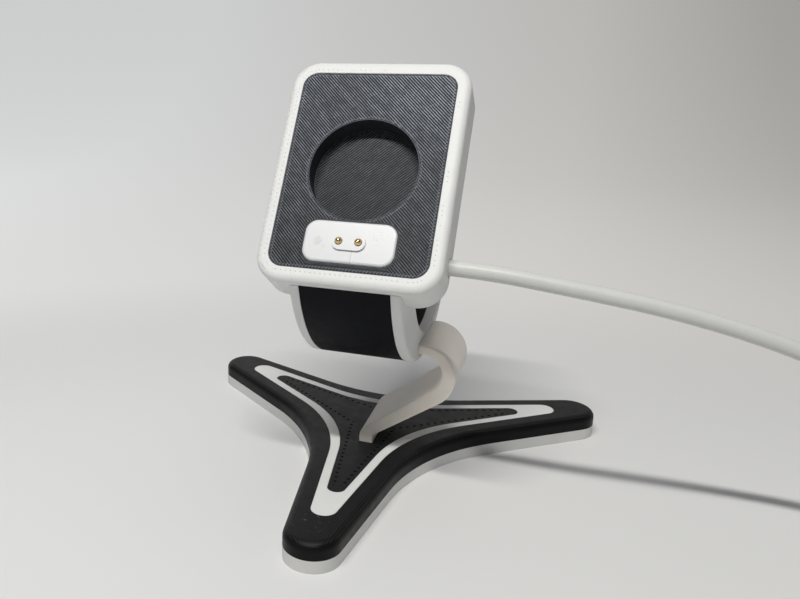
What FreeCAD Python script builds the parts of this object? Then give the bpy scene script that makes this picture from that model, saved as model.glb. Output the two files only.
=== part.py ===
import FreeCAD, Part
import Sketcher
import math
import os

# Smartwatch charging dock. Millimetres, +Z up, floor at z = 0, origin under the
# middle of the three-legged base, watch face turned towards -Y.
V = FreeCAD.Vector
doc = FreeCAD.newDocument("ChargingDock")
sheet = doc.addObject("Spreadsheet::Sheet", "Sizes")

SIZES = [
    ("leg_reach", 58.55, "middle of the base to a leg's end"),
    ("leg_tip_radius", 6.04, "rounding of a leg's end"),
    ("leg_taper", 8.02, "each side of a leg leans in, degrees"),
    ("leg_root_radius", 48.2, "hollow between two legs"),
    ("foot_thickness", 2.8, "white lower plate"),
    ("top_thickness", 3.65, "black upper plate"),
    ("top_round", 1.75, "rounded upper edge of the black plate"),
    ("inlay_depth", 0.8, "white band in the black plate"),
    ("inlay_fit", 0.04, "play round each inlay"),
    ("band_margin", 10.88, "black top beyond the white band, along a leg"),
    ("band_outer_tip", 2.78, "its rounding at a leg's end"),
    ("band_outer_root", 40.46, "its hollow between two legs"),
    ("band_end", 9.87, "white band itself, along a leg"),
    ("band_inner_tip", 2.02, "its rounding at a leg's end"),
    ("band_inner_root", 37.43, "its hollow between two legs"),
    ("neck_depth", 19.5, "hook, front to back"),
    ("neck_middle_back", 2.75, "middle of the hook in front of the base's middle"),
    ("neck_left", 1.2, "left side of the hook's foot, left of the middle"),
    ("neck_right", 2.0, "right side of the hook's foot"),
    ("neck_fit", 0.1, "play between the hook's foot and its socket"),
    ("neck_bend_left", 4.0, "bend above the foot, upper side"),
    ("neck_bend_right", 1.5, "bend above the foot, lower side"),
    ("limb_under_slope", 34.8, "underside of the rising limb, degrees"),
    ("limb_over_slope", 37.2, "upper side of the rising limb, degrees"),
    ("curl_out", 1.1, "middle of the curl's outer round beyond the loop's side"),
    ("curl_z", 25.0, "height of that middle"),
    ("curl_radius", 7.5, "outer round of the curl"),
    ("eye_out", 0.95, "middle of the curl's inner round beyond the loop's side"),
    ("eye_lift", 0.75, "that middle above the outer round's"),
    ("eye_radius", 4.6, "inner round of the curl"),
    ("edge_break", 0.35, "softened edges of the printed pieces"),
    ("limb_up", 5.14, "top of the curl above the loop's lowest point"),
    ("loop_forward", 3.56, "middle of the strap loop in front of the base's middle"),
    ("face_lean", 33.75, "lean of the face from upright, degrees"),
    ("case_width", 39.0, "watch case across"),
    ("case_height", 51.4, "watch case along the face"),
    ("case_depth", 9.6, "watch case front to back"),
    ("case_corner", 6.0, "corner of the case"),
    ("case_edge", 1.5, "rounded front edge of the case"),
    ("rim_side", 2.75, "rim of the case beside the opening"),
    ("rim_end", 3.05, "rim of the case above and below the opening"),
    ("opening_corner", 3.3, "corner of the opening"),
    ("cover_thickness", 1.0, "back cover"),
    ("insert_set_back", 0.2, "insert below the case's front"),
    ("insert_thickness", 5.7, "black insert"),
    ("insert_fit", 0.08, "play between the insert and the case"),
    ("recess_radius", 11.47, "round recess for the watch's sensor bump"),
    ("recess_depth", 4.4, "depth of that recess"),
    ("recess_web", 0.53, "from the puck up to the recess"),
    ("puck_width", 19.2, "charger puck across"),
    ("puck_height", 9.06, "charger puck along the face"),
    ("puck_corner", 2.7, "corner of the puck"),
    ("puck_gap", 1.76, "from the puck down to the opening's edge"),
    ("puck_fit", 0.12, "play between the puck and its window"),
    ("puck_proud", 0.3, "puck in front of the case's front"),
    ("puck_split", 4.0, "joint between the puck's halves, behind the front"),
    ("puck_edge", 0.5, "rounded front edge of the puck"),
    ("puck_wall", 1.2, "wall of the puck's rear half"),
    ("island_width", 7.0, "raised island across"),
    ("island_height", 3.6, "raised island along the face"),
    ("island_corner", 1.75, "corner of the island"),
    ("island_rise", 0.45, "island above the puck"),
    ("pin_pitch", 4.08, "between the two contacts"),
    ("pin_radius", 0.725, "contact pin"),
    ("pin_play", 0.08, "play round the pin"),
    ("pin_stand", 0.8, "straight part of the pin in front of the island"),
    ("pin_travel", 0.7, "how far a pin gives"),
    ("flange_radius", 0.9, "collar that keeps the pin in"),
    ("flange_thickness", 0.5, "collar"),
    ("barrel_radius", 1.2, "sleeve"),
    ("barrel_bore", 0.98, "inside of the sleeve"),
    ("barrel_front", 0.25, "front of the sleeve behind the case's front"),
    ("barrel_length", 5.0, "sleeve"),
    ("barrel_lip", 0.35, "lip and floor of the sleeve"),
    ("barrel_fit", 0.04, "play between the sleeve and the puck"),
    ("spring_radius", 0.7, "middle of the spring's wire"),
    ("spring_wire", 0.12, "radius of the spring's wire"),
    ("spring_turns", 6.0, "turns of the spring"),
    ("board_play", 0.2, "play round the circuit board"),
    ("board_thickness", 0.8, "circuit board"),
    ("magnet_radius", 2.5, "magnets"),
    ("magnet_thickness", 2.0, "magnets"),
    ("magnet_offset", 6.4, "magnets from the middle"),
    ("cable_diameter", 3.3, "cable"),
    ("cable_depth", 6.7, "cable behind the case's front"),
    ("cable_drop", 0.94, "cable below the middle of the puck"),
    ("cable_play", 0.2, "play round the cable in the case's slot"),
    ("relief_radius", 1.85, "strain relief at the puck"),
    ("relief_length", 3.6, "strain relief"),
    ("relief_root", 1.2, "plug of the strain relief in the puck's wall"),
    ("loop_width", 23.6, "strap loop"),
    ("loop_middle", 23.0, "middle of the loop's outer round behind the case's front"),
    ("loop_leave", 2.3, "where the loop leaves the case's walls, behind the front"),
    ("loop_flank", 8.4, "outer round's radius less the inner round's"),
    ("loop_rear", 2.4, "loop's wall at the rear"),
    ("strip_width", 19.1, "black strip let into the strap loop"),
    ("strip_depth", 1.0, "black strip"),
    ("rim_round", 0.8, "rounded rims of the strap loop"),
    ("tie_thickness", 0.8, "tie round the coil"),
    ("tie_width", 5.0, "tie round the coil"),
    ("tie_play", 0.25, "play between the tie and the coil"),
    ("coil_x", 152.0, "middle of the coil"),
    ("coil_y", 3.0, "middle of the coil"),
    ("coil_radius", 18.0, "middle of the coiled bundle"),
    ("coil_section", 6.7, "bundle across and up"),
    ("coil_corner", 1.6, "corner of the bundle"),
    ("coil_stub", 14.0, "straight end of the coiled cable"),
    ("plug_width", 12.4, "moulded plug across"),
    ("plug_thickness", 7.6, "moulded plug"),
    ("plug_length", 21.0, "moulded plug"),
    ("plug_corner", 1.6, "corner of the moulded plug"),
    ("boot_radius", 2.7, "sleeve at the plug's rear"),
    ("boot_length", 7.0, "sleeve at the plug's rear"),
    ("shell_width", 12.0, "metal plug shell"),
    ("shell_thickness", 4.5, "metal plug shell"),
    ("shell_length", 12.0, "metal plug shell"),
    ("shell_wall", 0.3, "metal plug shell"),
    ("tongue_thickness", 1.9, "tongue in the plug shell"),
    ("tongue_play", 0.1, "play between the tongue and its shell"),
    ("tongue_set_back", 0.6, "tongue behind the shell's mouth"),
    ("contact_width", 1.2, "flat contacts of the plug"),
    ("contact_length", 8.0, "flat contacts of the plug"),
    ("contact_thickness", 0.2, "flat contacts of the plug"),
    ("contact_pitch", 2.25, "flat contacts of the plug"),
]


class Size:
    # a number together with the sheet expression that gives it

    def __init__(self, value, text):
        self.value = float(value)
        self.text = text

    def other(self, item):
        return item if isinstance(item, Size) else Size(item, repr(item))

    def __add__(self, item):
        item = self.other(item)
        return Size(self.value + item.value, "(%s + %s)" % (self.text, item.text))

    def __sub__(self, item):
        item = self.other(item)
        return Size(self.value - item.value, "(%s - %s)" % (self.text, item.text))

    def __mul__(self, item):
        item = self.other(item)
        return Size(self.value * item.value, "(%s * %s)" % (self.text, item.text))

    def __truediv__(self, item):
        item = self.other(item)
        return Size(self.value / item.value, "(%s / %s)" % (self.text, item.text))

    def __neg__(self):
        return Size(-self.value, "(-1 * %s)" % self.text)


class Sheet:
    pass


S = Sheet()
for row, (alias, number, note) in enumerate(SIZES, 1):
    sheet.set("A%d" % row, alias)
    sheet.set("B%d" % row, str(number))
    sheet.setAlias("B%d" % row, alias)
    sheet.set("C%d" % row, note)
    setattr(S, alias, Size(number, "Sizes." + alias))
doc.recompute()


def hypot(one, two, sign="+"):
    # third side of a right triangle; sign "-" gives a short side
    square = one.value ** 2 + (1 if sign == "+" else -1) * two.value ** 2
    return Size(math.sqrt(square), "sqrt(%s ^ 2 %s %s ^ 2)" % (one.text, sign, two.text))


# Sizes that follow from the sheet
band_outer_reach = S.leg_reach - S.band_margin
band_inner_reach = band_outer_reach - S.band_end
opening_width = S.case_width - S.rim_side * 2
opening_height = S.case_height - S.rim_end * 2
puck_y = -(opening_height / 2 - S.puck_gap - S.puck_height / 2)
cable_y = puck_y - S.cable_drop
recess_y = puck_y + S.puck_height / 2 + S.recess_web + S.recess_radius
board_width = S.puck_width - (S.puck_wall + S.board_play) * 2
board_height = S.puck_height - (S.puck_wall + S.board_play) * 2
loop_side = S.loop_width / 2
loop_radius = hypot(S.case_height / 2, S.loop_middle - S.loop_leave)
hole_radius = loop_radius - S.loop_flank
hole_middle = S.loop_middle + loop_radius - S.loop_rear - hole_radius
ledge_width = S.puck_gap - S.puck_fit * 2
curl_x = loop_side + S.curl_out
eye_x = loop_side + S.eye_out
eye_z = S.curl_z + S.eye_lift
loop_low = S.curl_z + S.curl_radius - S.limb_up


def bind(thing, prop, size):
    thing.setExpression(prop, size.text)


def new_body(label, place):
    made = doc.addObject("PartDesign::Body", label)
    made.Label = label
    made.Placement = place
    return made


def new_sketch(made, name, role, offset=None):
    plane = [item for item in made.Origin.OriginFeatures if item.Role == role][0]
    drawn = made.newObject("Sketcher::SketchObject", name)
    drawn.AttachmentSupport = [(plane, "")]
    drawn.MapMode = "FlatFace"
    if offset is not None:
        bind(drawn, "AttachmentOffset.Base.z", offset)
    return drawn


def rule(drawn, kind, where, size, degrees=False):
    # a constraint whose value follows the sheet
    value = math.radians(size.value) if degrees else size.value
    index = drawn.addConstraint(Sketcher.Constraint(kind, *where, value))
    drawn.setExpression("Constraints[%d]" % index, size.text)


def place_x(drawn, geo, pos, size):
    if size.value >= 0:
        rule(drawn, "DistanceX", (-1, 1, geo, pos), size)
    else:
        rule(drawn, "DistanceX", (geo, pos, -1, 1), -size)


def place_y(drawn, geo, pos, size):
    if size.value >= 0:
        rule(drawn, "DistanceY", (-1, 1, geo, pos), size)
    else:
        rule(drawn, "DistanceY", (geo, pos, -1, 1), -size)


def line(drawn, start, end, construction=False):
    return drawn.addGeometry(Part.LineSegment(V(*start, 0), V(*end, 0)), construction)


def arc(drawn, middle, radius, first, last):
    # counter-clockwise, angles in degrees
    circle = Part.Circle(V(*middle, 0), V(0, 0, 1), radius)
    return drawn.addGeometry(
        Part.ArcOfCircle(circle, math.radians(first), math.radians(last)), False)


def joined(drawn, kind, one, one_end, two, two_end):
    drawn.addConstraint(Sketcher.Constraint(kind, one, one_end, two, two_end))


def circle(drawn, x, y, radius):
    round_ = drawn.addGeometry(
        Part.Circle(V(x.value, y.value, 0), V(0, 0, 1), radius.value), False)
    rule(drawn, "Radius", (round_,), radius)
    place_x(drawn, round_, 3, x)
    place_y(drawn, round_, 3, y)


def rounded_box(drawn, wide, high, corner, x=Size(0, "0"), y=Size(0, "0")):
    left, right = x.value - wide.value / 2, x.value + wide.value / 2
    low, top = y.value - high.value / 2, y.value + high.value / 2
    r = corner.value
    sides = [
        line(drawn, (left + r, low), (right - r, low)),
        line(drawn, (right, low + r), (right, top - r)),
        line(drawn, (right - r, top), (left + r, top)),
        line(drawn, (left, top - r), (left, low + r)),
    ]
    rounds = [
        arc(drawn, (right - r, low + r), r, 270, 360),
        arc(drawn, (right - r, top - r), r, 0, 90),
        arc(drawn, (left + r, top - r), r, 90, 180),
        arc(drawn, (left + r, low + r), r, 180, 270),
    ]
    for k in range(4):
        joined(drawn, "Tangent", sides[k], 2, rounds[k], 1)
        joined(drawn, "Tangent", rounds[k], 2, sides[(k + 1) % 4], 1)
    for k in (0, 2):
        drawn.addConstraint(Sketcher.Constraint("Horizontal", sides[k]))
        drawn.addConstraint(Sketcher.Constraint("Vertical", sides[k + 1]))
    rule(drawn, "Radius", (rounds[0],), corner)
    for k in (1, 2, 3):
        drawn.addConstraint(Sketcher.Constraint("Equal", rounds[0], rounds[k]))
    place_x(drawn, sides[1], 1, x + wide / 2)
    place_x(drawn, sides[3], 1, x - wide / 2)
    place_y(drawn, sides[2], 1, y + high / 2)
    place_y(drawn, sides[0], 1, y - high / 2)


def pad(made, drawn, length, both=False, reverse=False):
    grown = made.newObject("PartDesign::Pad", drawn.Name + "_pad")
    grown.Profile = drawn
    bind(grown, "Length", length)
    if both:
        grown.SideType = "Symmetric"
    grown.Reversed = reverse
    return grown


def pocket(made, drawn, length, both=False, reverse=False):
    cut = made.newObject("PartDesign::Pocket", drawn.Name + "_cut")
    cut.Profile = drawn
    bind(cut, "Length", length)
    if both:
        cut.SideType = "Symmetric"
    cut.Reversed = reverse
    doc.recompute()
    before = cut.BaseFeature.Shape.Volume
    if not cut.Shape.Volume < before - 0.01:
        raise RuntimeError("cuts nothing: " + cut.Name)
    return cut


def soften(made, base, size, test, name):
    doc.recompute()
    names = ["Edge%d" % (k + 1) for k, edge in enumerate(base.Shape.Edges) if test(edge)]
    eased = made.newObject("PartDesign::Fillet", name)
    eased.Base = (base, names)
    bind(eased, "Radius", size)
    return eased


def at_height(level, near=0.001):
    return lambda edge: all(abs(corner.z - level) < near for corner in
                            [edge.valueAt(edge.FirstParameter),
                             edge.valueAt(edge.LastParameter),
                             edge.valueAt((edge.FirstParameter + edge.LastParameter) / 2)])


def star(drawn, reach, tip, root):
    # three tapered legs with round ends and hollow roots, all tangent
    taper = math.radians(S.leg_taper.value)
    rt, rc = tip.value, root.value
    out = reach.value - rt
    far = (rt + rc + out * math.sin(taper)) / math.cos(math.radians(30) - taper)
    lean = S.leg_taper.value
    tips, roots, plus, minus = [], [], [], []

    def polar(distance, angle):
        return (distance * math.cos(math.radians(angle)),
                distance * math.sin(math.radians(angle)))

    def from_point(point, distance, angle):
        step = polar(distance, angle)
        return (point[0] + step[0], point[1] + step[1])

    for axis in (-90, 30, 150):
        tips.append(arc(drawn, polar(out, axis), rt, axis - 90 + lean, axis + 90 - lean))
    for axis in (-90, 30, 150):
        roots.append(arc(drawn, polar(far, axis + 60), rc, axis + 210 + lean,
                         axis + 270 - lean))
    for k, axis in enumerate((-90, 30, 150)):
        after = polar(far, axis + 60)
        ahead = polar(far, axis - 60)
        plus.append(line(drawn, from_point(after, rc, axis + 270 - lean),
                         from_point(polar(out, axis), rt, axis + 90 - lean)))
        minus.append(line(drawn, from_point(ahead, rc, axis + 90 + lean),
                          from_point(polar(out, axis), rt, axis - 90 + lean)))
    for k in range(3):
        joined(drawn, "Tangent", roots[k], 2, plus[k], 1)
        joined(drawn, "Tangent", plus[k], 2, tips[k], 2)
        joined(drawn, "Tangent", roots[(k + 2) % 3], 1, minus[k], 1)
        joined(drawn, "Tangent", minus[k], 2, tips[k], 1)
    rule(drawn, "Radius", (tips[0],), tip)
    rule(drawn, "Radius", (roots[0],), root)
    for k in (1, 2):
        drawn.addConstraint(Sketcher.Constraint("Equal", tips[0], tips[k]))
        drawn.addConstraint(Sketcher.Constraint("Equal", roots[0], roots[k]))
    for k, axis in enumerate((-90, 30, 150)):
        spoke = line(drawn, (0, 0), polar(out, axis), True)
        joined(drawn, "Coincident", spoke, 1, -1, 1)
        joined(drawn, "Coincident", spoke, 2, tips[k], 3)
        rule(drawn, "Distance", (spoke,), reach - tip)
        drawn.addConstraint(Sketcher.Constraint("Angle", spoke, math.radians(axis)))
        rule(drawn, "Angle", (plus[k],), Size(axis, str(axis)) - S.leg_taper, True)
        rule(drawn, "Angle", (minus[k],), Size(axis, str(axis)) + S.leg_taper, True)


WORLD = FreeCAD.Placement()
table = S.foot_thickness + S.top_thickness

# Base: white foot plate
foot = new_body("base_foot_plate", WORLD)
drawn = new_sketch(foot, "foot_outline", "XY_Plane")
star(drawn, S.leg_reach, S.leg_tip_radius, S.leg_root_radius)
foot_pad = pad(foot, drawn, S.foot_thickness)

# Base: black top plate with rounded edge, band groove and socket for the hook
top = new_body("base_top_plate", WORLD)
drawn = new_sketch(top, "top_outline", "XY_Plane", S.foot_thickness)
star(drawn, S.leg_reach, S.leg_tip_radius, S.leg_root_radius)
top_pad = pad(top, drawn, S.top_thickness)
soften(top, top_pad, S.top_round, at_height(table.value), "top_rounding")
drawn = new_sketch(top, "groove_outline", "XY_Plane", table)
star(drawn, band_outer_reach + S.inlay_fit, S.band_outer_tip + S.inlay_fit,
     S.band_outer_root - S.inlay_fit)
pocket(top, drawn, S.inlay_depth)
drawn = new_sketch(top, "island_outline", "XY_Plane", table - S.inlay_depth)
star(drawn, band_inner_reach - S.inlay_fit, S.band_inner_tip - S.inlay_fit,
     S.band_inner_root + S.inlay_fit)
pad(top, drawn, S.inlay_depth)
drawn = new_sketch(top, "socket_outline", "XY_Plane", table)
rounded_box(drawn, S.neck_left + S.neck_right + S.neck_fit * 2,
            S.neck_depth + S.neck_fit * 2, S.neck_fit,
            (S.neck_right - S.neck_left) / 2, -S.neck_middle_back)
pocket(top, drawn, S.top_thickness)

# Base: white band
band = new_body("base_inlay_ring", WORLD)
drawn = new_sketch(band, "band_outline", "XY_Plane", table - S.inlay_depth)
star(drawn, band_outer_reach, S.band_outer_tip, S.band_outer_root)
pad(band, drawn, S.inlay_depth)
drawn = new_sketch(band, "band_window", "XY_Plane", table)
star(drawn, band_inner_reach, S.band_inner_tip, S.band_inner_root)
pocket(band, drawn, S.inlay_depth)

# Hook: rises from its socket, leans right, curls back over to the strap loop's side
neck = new_body("neck", FreeCAD.Placement(V(0, -S.neck_middle_back.value, 0),
                                          FreeCAD.Rotation()))
drawn = new_sketch(neck, "neck_outline", "XZ_Plane")


def touch(middle, radius, slope):
    # where a line of this slope touches a round from below
    angle = math.radians(slope - 90)
    return (middle[0] + radius * math.cos(angle), middle[1] + radius * math.sin(angle))


def bend(x, point, slope, radius, side):
    # a vertical side and a sloping one with a tangent bend between them
    tangent = math.tan(math.radians(slope))
    corner = point[1] + (x - point[0]) * tangent
    reach = radius * math.tan(math.radians(90 - slope) / 2)
    step = (math.cos(math.radians(slope)), math.sin(math.radians(slope)))
    return ((x, corner - reach), (x + reach * step[0], corner + reach * step[1]),
            (x + radius, corner - reach))


eye = (eye_x.value, eye_z.value)
curl = (curl_x.value, S.curl_z.value)
over = touch(eye, S.eye_radius.value, S.limb_over_slope.value)
under = touch(curl, S.curl_radius.value, S.limb_under_slope.value)
left = bend(-S.neck_left.value, over, S.limb_over_slope.value, S.neck_bend_left.value, 1)
right = bend(S.neck_right.value, under, S.limb_under_slope.value,
             S.neck_bend_right.value, 1)
eye_end = math.degrees(math.acos((loop_side.value - eye[0]) / S.eye_radius.value))
curl_end = math.degrees(math.acos((loop_side.value - curl[0]) / S.curl_radius.value))


def around(middle, radius, angle):
    return (middle[0] + radius * math.cos(math.radians(angle)),
            middle[1] + radius * math.sin(math.radians(angle)))


foot_level = S.foot_thickness
n_left = line(drawn, (-S.neck_left.value, foot_level.value), left[0])
n_left_bend = arc(drawn, left[2], S.neck_bend_left.value,
                  90 + S.limb_over_slope.value, 180)
n_over = line(drawn, left[1], over)
n_eye = arc(drawn, eye, S.eye_radius.value, S.limb_over_slope.value - 90, eye_end)
n_end = line(drawn, around(eye, S.eye_radius.value, eye_end),
             around(curl, S.curl_radius.value, curl_end))
n_curl = arc(drawn, curl, S.curl_radius.value, S.limb_under_slope.value - 90, curl_end)
n_under = line(drawn, right[1], under)
n_right_bend = arc(drawn, right[2], S.neck_bend_right.value,
                   90 + S.limb_under_slope.value, 180)
n_right = line(drawn, (S.neck_right.value, foot_level.value), right[0])
n_floor = line(drawn, (-S.neck_left.value, foot_level.value),
               (S.neck_right.value, foot_level.value))
joined(drawn, "Tangent", n_left, 2, n_left_bend, 2)
joined(drawn, "Tangent", n_left_bend, 1, n_over, 1)
joined(drawn, "Tangent", n_over, 2, n_eye, 1)
joined(drawn, "Coincident", n_eye, 2, n_end, 1)
joined(drawn, "Coincident", n_end, 2, n_curl, 2)
joined(drawn, "Tangent", n_curl, 1, n_under, 2)
joined(drawn, "Tangent", n_under, 1, n_right_bend, 1)
joined(drawn, "Tangent", n_right_bend, 2, n_right, 2)
joined(drawn, "Coincident", n_right, 1, n_floor, 2)
joined(drawn, "Coincident", n_floor, 1, n_left, 1)
for upright in (n_left, n_end, n_right):
    drawn.addConstraint(Sketcher.Constraint("Vertical", upright))
drawn.addConstraint(Sketcher.Constraint("Horizontal", n_floor))
rule(drawn, "Radius", (n_left_bend,), S.neck_bend_left)
rule(drawn, "Radius", (n_right_bend,), S.neck_bend_right)
rule(drawn, "Radius", (n_eye,), S.eye_radius)
rule(drawn, "Radius", (n_curl,), S.curl_radius)
place_x(drawn, n_eye, 3, eye_x)
place_y(drawn, n_eye, 3, eye_z)
place_x(drawn, n_curl, 3, curl_x)
place_y(drawn, n_curl, 3, S.curl_z)
place_x(drawn, n_left, 1, -S.neck_left)
place_x(drawn, n_right, 1, S.neck_right)
place_y(drawn, n_floor, 1, foot_level)
place_x(drawn, n_end, 1, loop_side)
rule(drawn, "Angle", (n_over,), S.limb_over_slope, True)
rule(drawn, "Angle", (n_under,), S.limb_under_slope, True)
neck_pad = pad(neck, drawn, S.neck_depth, both=True)


def hook_edge(made_edge):
    # edges of the hook's front and back above the table plate, not at the loop
    spots = [made_edge.valueAt(made_edge.FirstParameter),
             made_edge.valueAt(made_edge.LastParameter)]
    flat = all(abs(abs(p.y) - S.neck_depth.value / 2) < 0.001 for p in spots)
    on_foot = all(abs(p.z - S.foot_thickness.value) < 0.001 for p in spots)
    at_loop = all(abs(p.x - loop_side.value) < 0.001 for p in spots)
    return flat and not on_foot and not at_loop


soften(neck, neck_pad, S.edge_break, hook_edge, "hook_softening")

# Head: everything on the watch face shares one leaning placement
lean = math.radians(S.face_lean.value)
face_back = S.loop_forward.value + S.loop_middle.value * math.cos(lean)
face_height = (loop_low + loop_radius).value + S.loop_middle.value * math.sin(lean)
HEAD = FreeCAD.Placement(V(0, -face_back, face_height),
                         FreeCAD.Rotation(V(1, 0, 0), 90 - S.face_lean.value))
print("middle of the face: y %.3f z %.3f" % (-face_back, face_height))


def on_head(x, y, z, turn=None):
    return HEAD * FreeCAD.Placement(V(x, y, z), turn or FreeCAD.Rotation())


shell_depth = S.case_depth - S.cover_thickness
seat = S.insert_set_back + S.insert_thickness
cable_radius = S.cable_diameter / 2


def slot(made, name, radius, offset, length, rear):
    # a round-ended slot that is open towards the rear
    drawn = new_sketch(made, name, "YZ_Plane", offset)
    y, z, r = cable_y.value, -S.cable_depth.value, radius.value
    crown = arc(drawn, (y, z), r, 0, 180)
    near = line(drawn, (y - r, z), (y - r, -rear.value))
    base = line(drawn, (y - r, -rear.value), (y + r, -rear.value))
    far = line(drawn, (y + r, -rear.value), (y + r, z))
    joined(drawn, "Tangent", crown, 2, near, 1)
    joined(drawn, "Coincident", near, 2, base, 1)
    joined(drawn, "Coincident", base, 2, far, 1)
    joined(drawn, "Tangent", far, 2, crown, 1)
    drawn.addConstraint(Sketcher.Constraint("Horizontal", base))
    drawn.addConstraint(Sketcher.Constraint("Vertical", near))
    rule(drawn, "Radius", (crown,), radius)
    place_x(drawn, crown, 3, cable_y)
    place_y(drawn, crown, 3, -S.cable_depth)
    place_y(drawn, base, 1, -rear)
    pocket(made, drawn, length, reverse=True)


# Watch case: shell with ledge and cable slot
case = new_body("case_shell", HEAD)
drawn = new_sketch(case, "case_outline", "XY_Plane", -shell_depth)
rounded_box(drawn, S.case_width, S.case_height, S.case_corner)
case_pad = pad(case, drawn, shell_depth)
soften(case, case_pad, S.case_edge, at_height(0), "case_rounding")
drawn = new_sketch(case, "opening", "XY_Plane")
rounded_box(drawn, opening_width, opening_height, S.opening_corner)
pocket(case, drawn, seat)
drawn = new_sketch(case, "rear_opening", "XY_Plane", -seat)
rounded_box(drawn, opening_width - ledge_width * 2,
            opening_height - ledge_width * 2, S.opening_corner - ledge_width / 2)
pocket(case, drawn, shell_depth - seat)
slot(case, "cable_slot", cable_radius + S.cable_play, None, S.case_width / 2 + 1,
     shell_depth + 1)

# Watch case: back cover
cover = new_body("case_back_cover", HEAD)
drawn = new_sketch(cover, "cover_outline", "XY_Plane", -S.case_depth)
rounded_box(drawn, S.case_width, S.case_height, S.case_corner)
pad(cover, drawn, S.cover_thickness)

# Black front insert
insert = new_body("face_insert", HEAD)
drawn = new_sketch(insert, "insert_outline", "XY_Plane", -seat)
rounded_box(drawn, opening_width - S.insert_fit * 2, opening_height - S.insert_fit * 2,
            S.opening_corner - S.insert_fit)
pad(insert, drawn, S.insert_thickness)
drawn = new_sketch(insert, "recess", "XY_Plane", -S.insert_set_back)
circle(drawn, Size(0, "0"), recess_y, S.recess_radius)
pocket(insert, drawn, S.recess_depth)
drawn = new_sketch(insert, "window", "XY_Plane", -S.insert_set_back)
rounded_box(drawn, S.puck_width + S.puck_fit * 2, S.puck_height + S.puck_fit * 2,
            S.puck_corner + S.puck_fit, y=puck_y)
pocket(insert, drawn, S.insert_thickness)
slot(insert, "relief_channel", S.relief_radius + S.cable_play, None,
     opening_width / 2 + 1, seat + 1)

# Charger puck, front half with island, pin holes, sleeve bores and magnet pockets
front = new_body("charger_front_shell", HEAD)
drawn = new_sketch(front, "puck_outline", "XY_Plane", -S.puck_split)
rounded_box(drawn, S.puck_width, S.puck_height, S.puck_corner, y=puck_y)
front_pad = pad(front, drawn, S.puck_split + S.puck_proud)
soften(front, front_pad, S.puck_edge, at_height(S.puck_proud.value), "puck_rounding")
drawn = new_sketch(front, "island", "XY_Plane", S.puck_proud)
rounded_box(drawn, S.island_width, S.island_height, S.island_corner, y=puck_y)
pad(front, drawn, S.island_rise)
pin_x = S.pin_pitch / 2
drawn = new_sketch(front, "pin_holes", "XY_Plane", S.puck_proud + S.island_rise)
for side in (-1, 1):
    circle(drawn, pin_x * side, puck_y, S.pin_radius + S.pin_play)
pocket(front, drawn, S.puck_proud + S.island_rise + S.puck_split)
drawn = new_sketch(front, "sleeve_bores", "XY_Plane", -S.barrel_front)
for side in (-1, 1):
    circle(drawn, pin_x * side, puck_y, S.barrel_radius + S.barrel_fit)
pocket(front, drawn, S.puck_split - S.barrel_front)
magnet_front = S.puck_split - S.magnet_thickness
drawn = new_sketch(front, "magnet_pockets", "XY_Plane", -magnet_front)
for side in (-1, 1):
    circle(drawn, S.magnet_offset * side, puck_y, S.magnet_radius + S.barrel_fit)
pocket(front, drawn, S.magnet_thickness)

# Charger puck, rear half: a tray that lies on the back cover
rear = new_body("charger_back_shell", HEAD)
drawn = new_sketch(rear, "rear_outline", "XY_Plane", -shell_depth)
rounded_box(drawn, S.puck_width, S.puck_height, S.puck_corner, y=puck_y)
pad(rear, drawn, shell_depth - S.puck_split)
drawn = new_sketch(rear, "cavity", "XY_Plane", -S.puck_split)
rounded_box(drawn, S.puck_width - S.puck_wall * 2, S.puck_height - S.puck_wall * 2,
            S.puck_corner - S.puck_wall, y=puck_y)
pocket(rear, drawn, shell_depth - S.puck_split - S.puck_wall)
drawn = new_sketch(rear, "relief_hole", "YZ_Plane", S.puck_width / 2 - S.puck_wall)
circle(drawn, cable_y, -S.cable_depth, S.relief_root + S.barrel_fit)
pocket(rear, drawn, S.puck_wall + 1, reverse=True)


def cylinder(name, radius, height, x=0, y=0, z=0):
    rod = doc.addObject("Part::Cylinder", name)
    bind(rod, "Radius", radius)
    bind(rod, "Height", height)
    for letter, size in (("x", x), ("y", y), ("z", z)):
        if isinstance(size, Size):
            bind(rod, "Placement.Base." + letter, size)
    return rod


def block(label, long_, wide, high):
    box = doc.addObject("Part::Box", label)
    bind(box, "Length", long_)
    bind(box, "Width", wide)
    bind(box, "Height", high)
    return box


def cut(label, base, tool):
    made = doc.addObject("Part::Cut", label)
    made.Label = label
    made.Base = base
    made.Tool = tool
    return made


def fuse(label, *pieces):
    made = doc.addObject("Part::MultiFuse", label)
    made.Label = label
    made.Shapes = list(pieces)
    return made


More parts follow.
